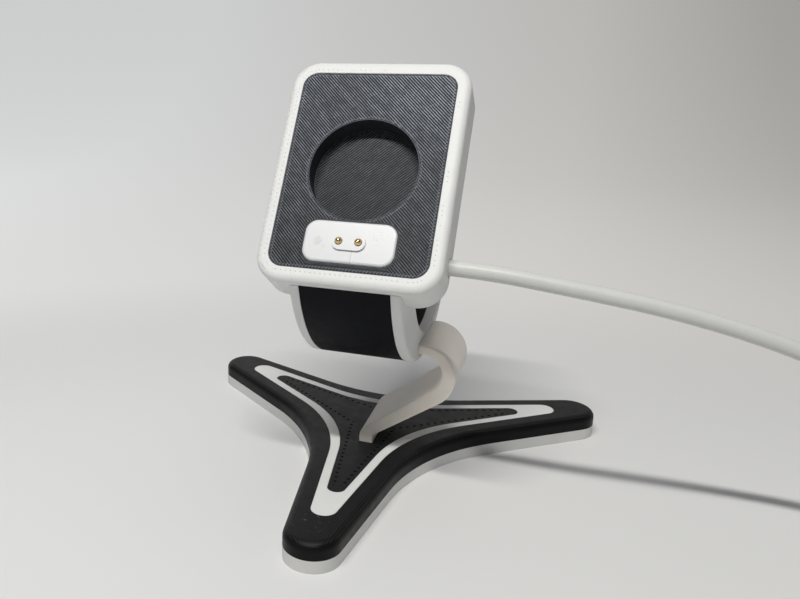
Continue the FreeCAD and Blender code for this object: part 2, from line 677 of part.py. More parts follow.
# Contacts: sleeve, sprung pin and spring, along the face's outward axis
barrel_rear = S.barrel_front + S.barrel_length
barrel_floor = barrel_rear - S.barrel_lip
flange_front = S.barrel_front + S.barrel_lip + S.pin_play
flange_rear = flange_front + S.flange_thickness
spring_front = flange_rear + S.pin_travel + S.pin_play
spring_length = barrel_floor - spring_front
pin_tip = S.puck_proud + S.island_rise + S.pin_stand - S.pin_radius
for side, word in ((-1, "left"), (1, "right")):
    where = on_head(pin_x.value * side, puck_y.value, 0)
    outside = cylinder("sleeve_body_" + word, S.barrel_radius, S.barrel_length,
                       z=-barrel_rear)
    inside = cylinder("sleeve_bore_" + word, S.barrel_bore,
                      S.barrel_length - S.barrel_lip * 2, z=-barrel_floor)
    mouth = cylinder("sleeve_mouth_" + word, S.pin_radius + S.pin_play, S.barrel_length / 2,
                     z=-(S.barrel_front + S.barrel_lip * 2))
    hollow = fuse("sleeve_hollow_" + word, inside, mouth)
    sleeve = cut("pogo_barrel_" + word, outside, hollow)
    sleeve.Placement = where
    shaft = cylinder("pin_shaft_" + word, S.pin_radius, pin_tip + flange_rear,
                     z=-flange_rear)
    collar = cylinder("pin_collar_" + word, S.flange_radius, S.flange_thickness,
                      z=-flange_rear)
    dome = doc.addObject("Part::Sphere", "pin_dome_" + word)
    bind(dome, "Radius", S.pin_radius)
    bind(dome, "Placement.Base.z", pin_tip)
    pin = fuse("pogo_pin_" + word, shaft, collar, dome)
    pin.Placement = where
    spring = new_body("pogo_spring_" + word, where)
    drawn = new_sketch(spring, "wire_" + word, "XZ_Plane")
    circle(drawn, S.spring_radius, -(barrel_floor - S.spring_wire), S.spring_wire)
    coil = spring.newObject("PartDesign::AdditiveHelix", "coils_" + word)
    coil.Profile = drawn
    coil.ReferenceAxis = (drawn, ["V_Axis"])
    coil.Mode = "height-turns-angle"
    bind(coil, "Height", spring_length - S.spring_wire * 2)
    bind(coil, "Turns", S.spring_turns)
    magnet = cylinder("magnet_" + word, S.magnet_radius, S.magnet_thickness)
    magnet.Label = "magnet_" + word
    magnet.Placement = on_head(S.magnet_offset.value * side, puck_y.value,
                               -S.puck_split.value)
board = new_body("contact_board", HEAD)
drawn = new_sketch(board, "board_outline", "XY_Plane", -(barrel_rear + S.board_thickness))
rounded_box(drawn, board_width, board_height, S.puck_corner - S.puck_wall - S.board_play,
            y=puck_y)
pad(board, drawn, S.board_thickness)

# Strain relief between puck and cable
along = FreeCAD.Rotation(V(0, 1, 0), 90)
sleeve_cone = doc.addObject("Part::Cone", "relief_cone")
bind(sleeve_cone, "Radius1", S.relief_radius)
bind(sleeve_cone, "Radius2", cable_radius)
bind(sleeve_cone, "Height", S.relief_length)
bind(sleeve_cone, "Placement.Base.z", S.puck_width / 2)
root = cylinder("relief_plug", S.relief_root, S.puck_wall, z=S.puck_width / 2 - S.puck_wall)
relief = fuse("cable_relief", sleeve_cone, root)
relief.Placement = on_head(0, cable_y.value, -S.cable_depth.value, along)

# Strap loop: a ring behind the case, cut off where the case stands in it
loop = new_body("strap_loop", HEAD)


drawn = new_sketch(loop, "loop_outline", "YZ_Plane")
edge = S.case_height / 2
big_z, small_z = -S.loop_middle.value, -hole_middle.value
rise = math.sqrt(loop_radius.value ** 2 - edge.value ** 2)
start = math.degrees(math.atan2(rise, edge.value))
back = -S.case_depth.value
drop = back - small_z
half = math.sqrt(hole_radius.value ** 2 - drop ** 2)
hole_start = math.degrees(math.atan2(drop, half))
l_out = arc(drawn, (0, big_z), loop_radius.value, 180 - start, 360 + start)
l_top = line(drawn, (edge.value, big_z + rise), (edge.value, back))
l_top_back = line(drawn, (edge.value, back), (half, back))
l_in = arc(drawn, (0, small_z), hole_radius.value, 180 - hole_start, 360 + hole_start)
l_low_back = line(drawn, (-half, back), (-edge.value, back))
l_low = line(drawn, (-edge.value, back), (-edge.value, big_z + rise))
joined(drawn, "Coincident", l_out, 2, l_top, 1)
joined(drawn, "Coincident", l_top, 2, l_top_back, 1)
joined(drawn, "Coincident", l_top_back, 2, l_in, 2)
joined(drawn, "Coincident", l_in, 1, l_low_back, 1)
joined(drawn, "Coincident", l_low_back, 2, l_low, 1)
joined(drawn, "Coincident", l_low, 2, l_out, 1)
for upright in (l_top, l_low):
    drawn.addConstraint(Sketcher.Constraint("Vertical", upright))
for flat in (l_top_back, l_low_back):
    drawn.addConstraint(Sketcher.Constraint("Horizontal", flat))
zero = Size(0, "0")
rule(drawn, "Radius", (l_out,), loop_radius)
rule(drawn, "Radius", (l_in,), hole_radius)
place_x(drawn, l_out, 3, zero)
place_y(drawn, l_out, 3, -S.loop_middle)
place_x(drawn, l_in, 3, zero)
place_y(drawn, l_in, 3, -hole_middle)
place_x(drawn, l_top, 2, edge)
place_x(drawn, l_low, 1, -edge)
place_y(drawn, l_top, 2, -S.case_depth)
place_y(drawn, l_low, 1, -S.case_depth)
loop_pad = pad(loop, drawn, S.loop_width, both=True)


def outer_rim(made_edge):
    # the two rims of the loop's outer face
    point = made_edge.valueAt((made_edge.FirstParameter + made_edge.LastParameter) / 2)
    ends = [made_edge.valueAt(made_edge.FirstParameter),
            made_edge.valueAt(made_edge.LastParameter)]
    spots = [point] + ends
    return all(abs(math.hypot(p.y, p.z + S.loop_middle.value) - loop_radius.value) < 0.001
               and abs(abs(p.x) - loop_side.value) < 0.001 for p in spots)


soften(loop, loop_pad, S.rim_round, outer_rim, "rim_rounding")


def strip_profile(drawn, outer, inner):
    # a curved strip of the ring's outer face, between the case's two walls
    big, small = outer.value, inner.value
    high = math.sqrt(big ** 2 - edge.value ** 2)
    low = math.sqrt(small ** 2 - edge.value ** 2)
    turn, inner_turn = (math.degrees(math.atan2(high, edge.value)),
                        math.degrees(math.atan2(low, edge.value)))
    s_out = arc(drawn, (0, big_z), big, 180 - turn, 360 + turn)
    s_in = arc(drawn, (0, big_z), small, 180 - inner_turn, 360 + inner_turn)
    s_top = line(drawn, (edge.value, big_z + high), (edge.value, big_z + low))
    s_low = line(drawn, (-edge.value, big_z + low), (-edge.value, big_z + high))
    joined(drawn, "Coincident", s_out, 2, s_top, 1)
    joined(drawn, "Coincident", s_top, 2, s_in, 2)
    joined(drawn, "Coincident", s_in, 1, s_low, 1)
    joined(drawn, "Coincident", s_low, 2, s_out, 1)
    drawn.addConstraint(Sketcher.Constraint("Vertical", s_top))
    drawn.addConstraint(Sketcher.Constraint("Vertical", s_low))
    joined(drawn, "Coincident", s_out, 3, s_in, 3)
    rule(drawn, "Radius", (s_out,), outer)
    rule(drawn, "Radius", (s_in,), inner)
    place_x(drawn, s_out, 3, zero)
    place_y(drawn, s_out, 3, -S.loop_middle)
    place_x(drawn, s_top, 2, edge)
    place_x(drawn, s_low, 1, -edge)


drawn = new_sketch(loop, "strip_groove", "YZ_Plane")
strip_profile(drawn, loop_radius + 1, loop_radius - S.strip_depth)
pocket(loop, drawn, S.strip_width + S.inlay_fit * 2, both=True)

# Black strip let into the loop's outer face
strip = new_body("strap_inlay", HEAD)
drawn = new_sketch(strip, "strip_outline", "YZ_Plane")
strip_profile(drawn, loop_radius, loop_radius - S.strip_depth + S.inlay_fit)
pad(strip, drawn, S.strip_width, both=True)

# Coil of the lead that is put away, outside the view, with its tie
coil_place = FreeCAD.Placement(V(S.coil_x.value, S.coil_y.value, 0), FreeCAD.Rotation())
coil_level = S.tie_thickness + S.tie_play + S.coil_section / 2
entry_y = -(S.coil_radius + S.coil_section / 2 - cable_radius)
entry_z = S.tie_thickness + S.tie_play + cable_radius
exit_z = S.plug_thickness / 2
coil_body = new_body("cable_coil", coil_place)
drawn = new_sketch(coil_body, "bundle", "XZ_Plane")
rounded_box(drawn, S.coil_section, S.coil_section, S.coil_corner, S.coil_radius, coil_level)
bundle = coil_body.newObject("PartDesign::Revolution", "bundle_turn")
bundle.Profile = drawn
bundle.ReferenceAxis = (drawn, ["V_Axis"])
bundle.Angle = 360
drawn = new_sketch(coil_body, "entry", "YZ_Plane")
circle(drawn, entry_y, entry_z, cable_radius)
pad(coil_body, drawn, S.coil_stub, reverse=True)
drawn = new_sketch(coil_body, "exit", "YZ_Plane")
circle(drawn, entry_y, exit_z, cable_radius)
pad(coil_body, drawn, S.coil_stub)
tie_out = block("tie_outside", S.coil_section + (S.tie_play + S.tie_thickness) * 2,
                S.tie_width, S.coil_section + (S.tie_play + S.tie_thickness) * 2)
tie_in = block("tie_inside", S.coil_section + S.tie_play * 2, S.tie_width * 2,
               S.coil_section + S.tie_play * 2)
bind(tie_in, "Placement.Base.x", S.tie_thickness)
bind(tie_in, "Placement.Base.y", -S.tie_width / 2)
bind(tie_in, "Placement.Base.z", S.tie_thickness)
tie = cut("cable_tie", tie_out, tie_in)
tie.Placement = FreeCAD.Placement(
    V((S.coil_x + S.coil_radius - S.coil_section / 2 - S.tie_play - S.tie_thickness).value,
      (S.coil_y - S.tie_width / 2).value, 0), FreeCAD.Rotation())

# Plug at the far end, lying on the table beyond the coil
plug_x = S.coil_x + S.coil_stub + S.boot_length
plug_y = S.coil_y + entry_y
plug_place = FreeCAD.Placement(V(plug_x.value, plug_y.value, exit_z.value),
                               FreeCAD.Rotation())
plug = new_body("usb_plug_body", plug_place)
drawn = new_sketch(plug, "plug_outline", "YZ_Plane")
rounded_box(drawn, S.plug_width, S.plug_thickness, S.plug_corner)
pad(plug, drawn, S.plug_length)
drawn = new_sketch(plug, "boot", "YZ_Plane")
circle(drawn, zero, zero, S.boot_radius)
pad(plug, drawn, S.boot_length, reverse=True)


def on_plug(x, y, z):
    return plug_place * FreeCAD.Placement(V(x, y, z), FreeCAD.Rotation())


metal_out = block("shell_outside", S.shell_length, S.shell_width, S.shell_thickness)
metal_in = block("shell_inside", S.shell_length * 2, S.shell_width - S.shell_wall * 2,
                 S.shell_thickness - S.shell_wall * 2)
bind(metal_in, "Placement.Base.x", -S.shell_length / 2)
bind(metal_in, "Placement.Base.y", S.shell_wall)
bind(metal_in, "Placement.Base.z", S.shell_wall)
metal = cut("usb_plug_shell", metal_out, metal_in)
metal.Placement = on_plug(S.plug_length.value, -S.shell_width.value / 2,
                          -S.shell_thickness.value / 2)
tongue_width = S.shell_width - (S.shell_wall + S.tongue_play) * 2
tongue = block("usb_plug_tongue", S.shell_length - S.tongue_set_back, tongue_width,
               S.tongue_thickness)
tongue_z = (S.shell_wall + S.tongue_play - S.shell_thickness / 2).value
tongue.Placement = on_plug(S.plug_length.value, -tongue_width.value / 2, tongue_z)
for k in range(4):
    contact = block("usb_contact_%d" % (k + 1), S.contact_length, S.contact_width,
                    S.contact_thickness)
    contact.Placement = on_plug(
        S.plug_length.value + 1,
        (k - 1.5) * S.contact_pitch.value - S.contact_width.value / 2,
        tongue_z + S.tongue_thickness.value)

# Cable: out of the case to the right, a slow sag, down to the table, into the coil
first = on_head(0, cable_y.value, -S.cable_depth.value).Base + V(
    (S.puck_width / 2 + S.relief_length).value, 0, 0)
last = V((S.coil_x - S.coil_stub).value, plug_y.value, entry_z.value)
ROUTE = [
    first,
    first + V(12, 0, 0),
    V(43, -25.0, 52.6),
    V(61, -22.4, 49.6),
    V(79, -19.6, 44.9),
    V(95, -17.2, 38.6),
    V(107, -15.6, 27.0),
    V(116, -15.2, 12.5),
    V(125.5, -16.4, 4.0),
    last,
]


def cord(label, points, radius):
    # straight runs joined by tangent arcs
    pieces, length, radii = [], 0.0, []
    here = points[0]
    for k in range(1, len(points) - 1):
        back_run = (points[k - 1] - points[k])
        next_run = (points[k + 1] - points[k])
        shorter = min(back_run.Length, next_run.Length)
        back_run.normalize()
        next_run.normalize()
        turn = math.pi - back_run.getAngle(next_run)
        reach = 0.45 * shorter
        arc_radius = reach / math.tan(turn / 2)
        radii.append(round(arc_radius, 1))
        one, two = points[k] + back_run * reach, points[k] + next_run * reach
        inward = back_run + next_run
        inward.normalize()
        middle = points[k] + inward * (arc_radius / math.cos(turn / 2) - arc_radius)
        pieces.append(Part.LineSegment(here, one).toShape())
        pieces.append(Part.Arc(one, middle, two).toShape())
        length += (one - here).Length + arc_radius * turn
        here = two
    pieces.append(Part.LineSegment(here, points[-1]).toShape())
    length += (points[-1] - here).Length
    wire = Part.Wire(pieces)
    disc = Part.Wire([Part.makeCircle(radius, points[0], points[1] - points[0])])
    solid = wire.makePipeShell([disc], True, False)
    made = doc.addObject("Part::Feature", label)
    made.Label = label
    made.Shape = solid
    made.Placement = FreeCAD.Placement()
    runs = [round((points[k + 1] - points[k]).Length, 1) for k in range(len(points) - 1)]
    section = math.pi * radius * radius * length
    print("cord runs", runs, "radii", radii)
    print("cord length %.1f volume %.1f section x length %.1f" % (
        length, solid.Volume, section))
    return made, length


cable, cable_length = cord("charging_cable", ROUTE, cable_radius.value)

doc.recompute()

NODES = [
    "base_foot_plate", "base_top_plate", "base_inlay_ring", "neck", "strap_loop",
    "strap_inlay", "case_shell", "case_back_cover", "face_insert",
    "charger_front_shell", "charger_back_shell", "pogo_barrel_left",
    "pogo_barrel_right", "pogo_pin_left", "pogo_pin_right", "pogo_spring_left",
    "pogo_spring_right", "contact_board", "magnet_left", "magnet_right",
    "cable_relief", "charging_cable", "cable_coil", "cable_tie", "usb_plug_body",
    "usb_plug_shell", "usb_plug_tongue", "usb_contact_1", "usb_contact_2",
    "usb_contact_3", "usb_contact_4",
]
for thing in doc.Objects:
    if "Invalid" in thing.State or "Error" in thing.State:
        raise RuntimeError("failed: %s %s" % (thing.Label, thing.State))
made = {thing.Label: thing for thing in doc.Objects}
for node in NODES:
    shape = made[node].Shape
    if shape.isNull() or not shape.isValid() or len(shape.Solids) != 1:
        raise RuntimeError("bad solid: " + node)
os.makedirs("parts", exist_ok=True)
for node in NODES:
    made[node].Shape.exportStep("parts/%s.step" % node)
    box = made[node].Shape.BoundBox
    print("%-20s %8.1f mm3  x %.2f..%.2f  y %.2f..%.2f  z %.2f..%.2f" % (
        node, made[node].Shape.Volume, box.XMin, box.XMax, box.YMin, box.YMax,
        box.ZMin, box.ZMax))
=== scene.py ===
import math
import bpy
from mathutils import Matrix, Vector


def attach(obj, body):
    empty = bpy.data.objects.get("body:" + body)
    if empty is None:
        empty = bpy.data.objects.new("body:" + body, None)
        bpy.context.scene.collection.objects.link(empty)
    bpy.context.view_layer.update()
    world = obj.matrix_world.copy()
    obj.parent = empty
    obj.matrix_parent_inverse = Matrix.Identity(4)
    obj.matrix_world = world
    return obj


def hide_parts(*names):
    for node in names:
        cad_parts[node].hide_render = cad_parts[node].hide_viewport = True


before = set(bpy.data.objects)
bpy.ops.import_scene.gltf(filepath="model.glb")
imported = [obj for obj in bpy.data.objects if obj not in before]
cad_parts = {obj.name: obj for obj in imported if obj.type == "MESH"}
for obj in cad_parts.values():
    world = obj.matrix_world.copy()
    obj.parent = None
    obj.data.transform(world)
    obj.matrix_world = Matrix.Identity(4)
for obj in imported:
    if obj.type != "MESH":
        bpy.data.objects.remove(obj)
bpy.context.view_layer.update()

scene = bpy.context.scene

# Measures of the model that the looks follow, in metres and as seen from the face
LEAN = math.radians(33.75)
FACE = Vector((0, -0.022684, 0.073138))
INSERT = (0.01675, 0.02265, 0.0033)
PUCK = (0.00972, 0.00465, 0.0028)
PUCK_DOWN = 0.01636
PIN_ASIDE = 0.00204
RECESS_RADIUS = 0.01147
RECESS_UP = 0.00017
RECESS_FLOOR = -0.003
CASE_HEIGHT = 0.05140
LOOP_MIDDLE, LOOP_LEAVE, LOOP_FLANK, LOOP_REAR = 0.023, 0.0023, 0.0084, 0.0024
STRIP_HALF = 0.0093

# The base's legs: half widths at the middle, and how fast they narrow
LEG_HALF = 0.01342
OPENING_HALF = 0.0070
LEG_TAPER = -0.1405
BASE_TOP = 0.0060

# Printing: thickness of a layer and width of a path
LAYER = 0.0002
PATH = 0.00050
DIAGONAL = 0.7071

# Camera at the photograph's place
AZIMUTH, ELEVATION = math.radians(21.27), math.radians(16.25)
EYE = (0.04278, -0.19213, 0.09832)
level = math.cos(ELEVATION)
back = Vector((math.sin(AZIMUTH) * level, -math.cos(AZIMUTH) * level, math.sin(ELEVATION)))
right = Vector((math.cos(AZIMUTH), math.sin(AZIMUTH), 0))
turn = Matrix((right, back.cross(right), back)).transposed().to_4x4()
lens = bpy.data.cameras.new("camera")
camera = bpy.data.objects.new("camera", lens)
scene.collection.objects.link(camera)
camera.matrix_world = Matrix.Translation(EYE) @ turn
lens.sensor_width = 36
lens.lens = 37.746
lens.shift_x = 0.1772
lens.shift_y = -0.0155
lens.clip_start = 0.01
scene.camera = camera
scene.view_settings.view_transform = "Standard"


class Value:
    # a number that the shader works out, so that patterns read as plain arithmetic

    def __init__(self, nodes, socket):
        self.nodes = nodes
        self.socket = socket

    def __add__(self, other):
        return self.nodes.math("ADD", self, other)

    def __sub__(self, other):
        return self.nodes.math("SUBTRACT", self, other)

    def __rsub__(self, other):
        return self.nodes.math("SUBTRACT", other, self)

    def __mul__(self, other):
        return self.nodes.math("MULTIPLY", self, other)

    def __truediv__(self, other):
        return self.nodes.math("DIVIDE", self, other)

    def __pow__(self, other):
        return self.nodes.math("POWER", self, other)

    def __neg__(self):
        return self * -1.0

    def __abs__(self):
        return self.nodes.math("ABSOLUTE", self)

    def __gt__(self, other):
        # 1 where it is greater, otherwise 0
        return self.nodes.math("GREATER_THAN", self, other)

    def __lt__(self, other):
        return self.nodes.math("LESS_THAN", self, other)

    def near(self, other, within):
        # 1 where the two differ by no more than that
        return self.nodes.math("COMPARE", self, other, within)

    def least(self, other):
        return self.nodes.math("MINIMUM", self, other)

    def most(self, other):
        return self.nodes.math("MAXIMUM", self, other)

    def root(self):
        return self.nodes.math("SQRT", self)

    def floor(self):
        return self.nodes.math("FLOOR", self)

    def fraction(self):
        return self.nodes.math("FRACT", self)


def hypotenuse(one, two):
    return (one ** 2.0 + two ** 2.0).root()


class Nodes:
    # a material and the nodes that feed its shader

    def __init__(self, name):
        self.material = bpy.data.materials.new(name)
        self.material.use_nodes = True
        self.tree = self.material.node_tree
        self.shader = self.tree.nodes["Principled BSDF"]

    def put(self, kind, **values):
        node = self.tree.nodes.new(kind)
        for key, value in values.items():
            setattr(node, key, value)
        return node

    def feed(self, socket, value):
        # a computed value or a socket is linked, a plain number or tuple is set
        if isinstance(value, Value):
            value = value.socket
        if hasattr(value, "links"):
            self.tree.links.new(value, socket)
        else:
            socket.default_value = value

    def set(self, name, value):
        self.feed(self.shader.inputs[name], value)

    def now(self, name):
        # what already feeds the shader there
        return self.shader.inputs[name].links[0].from_socket

    def math(self, operation, *values):
        node = self.put("ShaderNodeMath", operation=operation)
        for socket, value in zip(node.inputs, values):
            self.feed(socket, value)
        return Value(self, node.outputs[0])

    def measure(self, operation, one, two):
        node = self.put("ShaderNodeVectorMath", operation=operation)
        self.feed(node.inputs[0], one)
        self.feed(node.inputs[1], two)
        return Value(self, node.outputs["Value"])

    def place(self, face=False):
        # the point on the surface, from the dock's origin or from the face's middle
        spot = self.put("ShaderNodeTexCoord").outputs["Object"]
        if not face:
            return spot
        shift = self.put("ShaderNodeMapping", vector_type="TEXTURE")
        shift.inputs["Location"].default_value = FACE
        shift.inputs["Rotation"].default_value = (math.radians(90) - LEAN, 0, 0)
        self.feed(shift.inputs["Vector"], spot)
        return shift.outputs[0]

    def split(self, spot):
        node = self.put("ShaderNodeSeparateXYZ")
        self.feed(node.inputs[0], spot)
        return [Value(self, socket) for socket in node.outputs]

    def noise(self, spot, scale, detail=3.0, rough=0.5):
        node = self.put("ShaderNodeTexNoise")
        self.feed(node.inputs["Vector"], spot)
        self.feed(node.inputs["Scale"], scale)
        self.feed(node.inputs["Detail"], detail)
        self.feed(node.inputs["Roughness"], rough)
        return Value(self, node.outputs["Fac"])

    def ridge(self, value, pitch, power=0.8):
        # rounded printed lines, 0 in the groove and 1 on the crown
        wave = self.math("SINE", value * (2 * math.pi / pitch))
        return (wave * 0.5 + 0.5) ** power

    def range(self, value, low, high, to_low, to_high, smooth=False):
        node = self.put("ShaderNodeMapRange")
        if smooth:
            node.interpolation_type = "SMOOTHSTEP"
        for key, number in (("Value", value), ("From Min", low), ("From Max", high),
                            ("To Min", to_low), ("To Max", to_high)):
            self.feed(node.inputs[key], number)
        return Value(self, node.outputs["Result"])

    def mix(self, kind, fac, one, two):
        node = self.put("ShaderNodeMix", data_type=kind)
        self.feed(node.inputs["Factor"], fac)
        self.feed(node.inputs["A"], one)
        self.feed(node.inputs["B"], two)
        return node.outputs["Result"]

    def colour(self, fac, one, two):
        return self.mix("RGBA", fac, (*one, 1), (*two, 1))

    def blend(self, fac, one, two):
        return Value(self, self.mix("FLOAT", fac, one, two))

    def paint(self, mask, colour):
        # lay another colour over the base colour where the mask is 1
        under = self.now("Base Color")
        self.set("Base Color", self.mix("RGBA", mask, under, (*colour, 1)))

    def bump(self, height, depth, strength=1.0, under=None):
        node = self.put("ShaderNodeBump")
        self.feed(node.inputs["Strength"], strength)
        self.feed(node.inputs["Distance"], depth)
        self.feed(node.inputs["Height"], height)
        if under is not None:
            self.feed(node.inputs["Normal"], under)
        self.set("Normal", node.outputs[0])
        return node.outputs[0]


def box_distance(x, y, half_x, half_y, corner):
    # distance to a rounded rectangle's outline, negative inside
    beside = abs(x) - (half_x - corner)
    beyond = abs(y) - (half_y - corner)
    outside = hypotenuse(beside.most(0.0), beyond.most(0.0))
    return outside + beside.most(beyond).least(0.0) - corner


# White printed plastic
WHITE = (0.765, 0.77, 0.755)


def white_print(name, colour=WHITE, face=False, rough=0.5, glow=0.12, glow_depth=0.0012,
                rounding=0.0003):
    # stacked layers and faint mottling
    n = Nodes(name)
    spot = n.place(face)
    z = n.split(spot)[2]
    tone = n.noise(spot, 180.0, 4.0)
    fine = n.noise(spot, 2600.0, 2.0)
    shade = tuple(c * 0.965 for c in colour)
    n.set("Base Color", n.colour(n.range(tone, 0.3, 0.7, 0, 1), shade, colour))
    n.set("Roughness", n.range(fine, 0.3, 0.7, rough - 0.06, rough + 0.06))
    n.set("Specular IOR Level", 0.4)
    n.set("Subsurface Weight", glow)
    n.set("Subsurface Radius", (0.9, 0.8, 0.65))
    n.set("Subsurface Scale", glow_depth)
    edge = n.put("ShaderNodeBevel", samples=6)
    n.feed(edge.inputs["Radius"], rounding)
    layers = n.bump(n.ridge(z, LAYER), 0.00002, 0.6, edge.outputs[0])
    n.bump(fine, 0.000012, 0.5, layers)
    return n


def loop_print():
    # near-black on the strap loop's inner side, across the width of the black strip
    n = white_print("printed_white_loop", face=True)
    x, y, z = n.split(n.place(True))
    loop_radius = math.hypot(CASE_HEIGHT / 2, LOOP_MIDDLE - LOOP_LEAVE)
    hole_radius = loop_radius - LOOP_FLANK
    hole_middle = LOOP_MIDDLE + loop_radius - LOOP_REAR - hole_radius
    inner = hypotenuse(y, z + hole_middle) < hole_radius + 0.00025
    n.paint(inner * (abs(x) < STRIP_HALF), (0.012, 0.012, 0.014))
    return n


def case_print():
    # rows of small start marks that the printer leaves in the rim, and fine speckle
    n = white_print("printed_white_case", face=True)
    spot = n.place(True)
    x, y, z = n.split(spot)
    gap = box_distance(x, y, *INSERT)
    step = ((x + y + 1.0) / 0.00105).fraction()
    half = (step + 0.45).fraction()
    inner_row = gap.near(0.00078, 0.00009) * step.near(0.5, 0.11)
    outer_row = gap.near(0.00195, 0.00008) * half.near(0.5, 0.09) * (x < -0.0165)
    toward = x * -7.0 + y * -5.0
    patchy = n.noise(spot, 210.0, 2.0) + toward > 0.42
    marks = inner_row.most(outer_row) * patchy * (z > -0.0008)
    n.paint(marks, (0.40, 0.42, 0.43))
    grit = n.range(n.noise(spot, 1900.0, 2.0), 0.60, 0.72, 0.0, 0.55)
    n.paint(grit * n.range(x, -0.018, 0.016, 1.0, 0.25), (0.52, 0.53, 0.54))
    return n


# Black printed plastic
def black_print(name, face, pattern, power, colour, rough, depth, groove, shine):
    # the bump and the colour follow the printed paths; the grooves are coloured darker than
    # the crowns by the groove factor, a painted shade
    n = Nodes(name)
    spot = n.place(face)
    height = pattern(n, spot, power)
    tone = n.noise(spot, 420.0, 3.0)
    grit = n.noise(spot, 1500.0, 2.0)
    mixed = n.range(tone, 0.3, 0.7, 0.65, 1) * n.range(grit, 0.35, 0.65, 0.7, 1.0)
    # painted shade: the groove colour is the crown colour times the groove factor
    shade = tuple(c * groove for c in colour)
    n.set("Base Color", n.colour(height * mixed, shade, colour))
    n.set("Roughness", n.range(tone, 0.3, 0.7, rough - 0.05, rough + 0.07))
    n.set("Specular IOR Level", shine)
    n.bump(height, depth, 0.8)
    return n


def insert_paths(n, spot, power):
    # outline paths beside the edges, diagonal filling between, other way on the floor
    x, y, z = n.split(spot)
    edge = -box_distance(x, y, *INSERT)
    recess = abs(hypotenuse(x, y - RECESS_UP) - RECESS_RADIUS)
    puck = box_distance(x, y + PUCK_DOWN, *PUCK)
    near = edge.least(recess.least(puck))
    floor = z < RECESS_FLOOR
    wobble = n.noise(spot, 900.0, 2.0) * 0.00012
    down = (x + y) * DIAGONAL + wobble
    rise = (x - y) * DIAGONAL + wobble

    # each filling line has its own streaks; a painted sheen makes them brighter towards the
    # top and brightest at the top right
    line = n.put("ShaderNodeCombineXYZ")
    n.feed(line.inputs[0], (n.blend(floor, down, rise) / PATH).floor() * 0.37)
    n.feed(line.inputs[1], n.blend(floor, rise, down) * 260.0)
    streak_and_sheen = n.range(n.noise(line.outputs[0], 1.0, 2.0), 0.35, 0.62, 0.55, 1.0)
    # painted sheen rising upwards, with a painted highlight patch at the top right
    corner = (y - 0.006).most(0.0) * (x + 0.004).most(0.0)
    painted_sheen = corner * 4900.0 + (y * 15.0 + 0.78)
    streak_and_sheen = streak_and_sheen * painted_sheen.most(0.5).least(1.7)
    # on the recess floor the lines reach about half the value of the front's, so the floor
    # is coloured darker: painted shade in the recess
    filling = n.blend(floor, n.ridge(down, PATH, power), n.ridge(rise, PATH, 2.0) * 0.52)

    # under the puck the lines run level, and the outline paths start in small beads
    level_rows = (y < -0.0209) * (abs(x) < 0.0085)
    field = n.blend(level_rows, filling * streak_and_sheen, n.ridge(y, PATH * 1.3) * 0.2)
    bead = ((x - y + 1.0) / (PATH * 1.414)).fraction() < 0.5
    beads = edge.least(recess).near(0.00055, 0.0002) * bead * (floor * -0.45 + 0.45)
    contour = n.ridge(near + wobble, PATH) * 0.25
    top = n.blend(near < 0.00028, field.most(beads), contour)
    # surfaces that do not face forward, the recess walls, get a low fixed value and so a
    # dark colour: painted shade on the walls
    facing = n.measure("DOT_PRODUCT", n.put("ShaderNodeNewGeometry").outputs["Normal"],
                       (0, -math.cos(LEAN), math.sin(LEAN)))
    return n.blend(facing < 0.6, top, 0.08)


def along_leg(x, y):
    # how far out along the nearest leg, and how far beside its middle line
    along = (abs(x) * 0.866 + y * 0.5).most(-y)
    aside = (x ** 2.0 + y ** 2.0 - along ** 2.0).most(0.0).root()
    return along, aside


def table_pits(x, y, z):
    # rows of pits beside the white opening, and a short row across the middle
    along, aside = along_leg(x, y)
    row = (along * LEG_TAPER + OPENING_HALF - aside).near(0.0012, 0.00034)
    dashes = (along / 0.0019).fraction().near(0.5, 0.19)
    seam = x.near(-0.0012, 0.00025) * ((y + 1.0) / 0.0011).fraction().near(0.5, 0.2)
    rows = row * (along < 0.035) * dashes
    return rows.most(seam * y.near(0.0, 0.012)) * (z > BASE_TOP)


def table_paths(n, spot, power):
    # top of the base: outline paths along each leg's sides, filling lines inside
    x, y, z = n.split(spot)
    across = (x + y) * DIAGONAL + n.noise(spot, 500.0, 2.0) * 0.00015
    along, aside = along_leg(x, y)
    edge = along * LEG_TAPER + LEG_HALF - aside
    field = n.blend(edge < 0.0021, n.ridge(across, PATH, power), n.ridge(edge, PATH, power))
    field = field * (1.0 - table_pits(x, y, z))
    # the base's sides take only a third of the ridge value and so a darker colour than the
    # top: painted shade on the sides
    return n.blend(z > BASE_TOP, n.ridge(z, LAYER, power) * 0.3, field)


def strip_paths(n, spot, power):
    return n.ridge(n.split(spot)[0], LAYER, power)


def base_print():
    n = black_print("printed_black_base", False, table_paths, power=0.8,
                    colour=(0.019, 0.019, 0.021), rough=0.42, depth=0.00004,
                    groove=0.05, shine=0.16)
    spot = n.place()
    pits = table_pits(*n.split(spot))
    n.set("Roughness", n.blend(pits, n.now("Roughness"), 0.95))
    n.paint(pits, (0.002, 0.002, 0.002))
    toe = n.measure("DISTANCE", spot, (-0.001, -0.0505, 0.0075))
    worn = n.noise(spot, 900.0, 3.0) > 0.66
    n.paint(worn * n.range(toe, 0.002, 0.005, 0.5, 0.0, True), (0.16, 0.16, 0.17))
    return n


